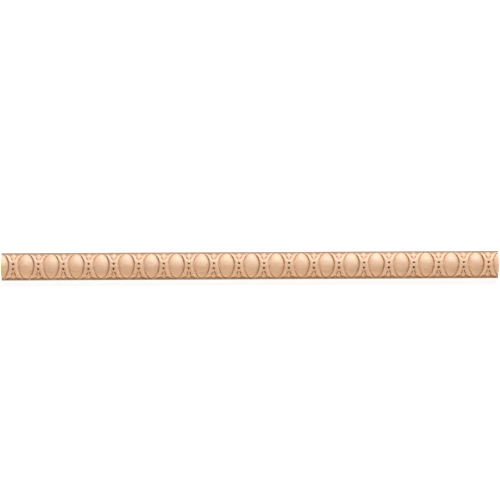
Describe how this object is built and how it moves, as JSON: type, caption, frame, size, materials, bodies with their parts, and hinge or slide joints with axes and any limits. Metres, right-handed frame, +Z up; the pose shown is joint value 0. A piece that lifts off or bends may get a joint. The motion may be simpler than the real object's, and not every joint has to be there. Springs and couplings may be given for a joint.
{
  "type": "decorative wood strip",
  "caption": "Straight hardwood trim strip with a flat back, narrow ledges and a rounded face carved with eggs in shells and double-ended darts; glued or nailed onto furniture or panels.",
  "frame": {"origin": "middle of the flat back, halfway along the strip and halfway across it", "axes": "+X along the strip, +Y across it towards the broad end of the eggs, +Z up out of the carved face"},
  "size_m": [0.4572, 0.0254, 0.0095],
  "materials": {
    "wood": "raw, sanded, unfinished pale hardwood"
  },
  "bodies": {
    "root": {"carved_strip": "wood"}
  },
  "joints": []
}
